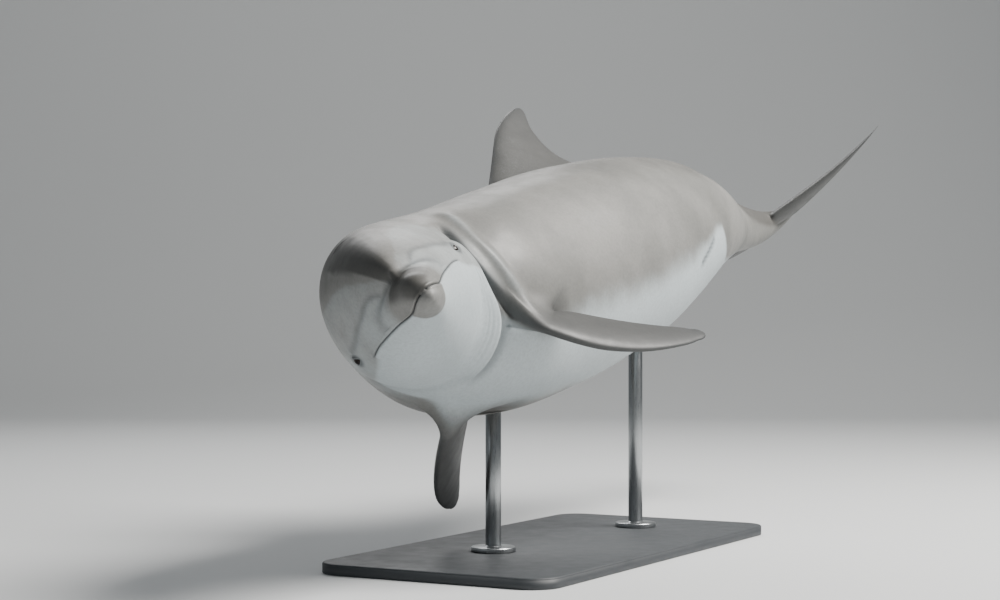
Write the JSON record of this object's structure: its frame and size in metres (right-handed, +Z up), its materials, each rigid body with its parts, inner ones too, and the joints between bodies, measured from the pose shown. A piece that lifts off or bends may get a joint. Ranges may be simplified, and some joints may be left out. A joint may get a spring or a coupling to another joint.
{
  "type": "bottlenose dolphin",
  "caption": "Life-size still bottlenose dolphin in a banked swimming turn with its head towards the viewer, held on a plain plate by upright rods.",
  "frame": {"origin": "middle of the underside of stand_base, on the floor", "axes": "+Z up, the head faces -Y and the tail goes back towards +Y and +X; X is to the viewer's right in a view from -Y"},
  "size_m": [1.333, 2.3454, 0.9926],
  "materials": {
    "skin": "smooth wet skin, satin",
    "eye": "wet dark eye",
    "stand_plate": "matt dark grey powder coat",
    "stand_steel": "brushed stainless steel"
  },
  "bodies": {
    "root": {"upper_jaw": "skin", "lower_jaw": "skin", "head": "skin", "trunk": "skin", "tail_stock": "skin", "dorsal_fin": "skin", "flipper_left": "skin", "flipper_right": "skin", "fluke_left": "skin", "fluke_right": "skin", "eye_left": "eye", "eye_right": "eye", "stand_base": "stand_plate", "stand_foot_front": "stand_steel", "stand_rod_front": "stand_steel", "stand_foot_rear": "stand_steel", "stand_rod_rear": "stand_steel"}
  },
  "joints": []
}
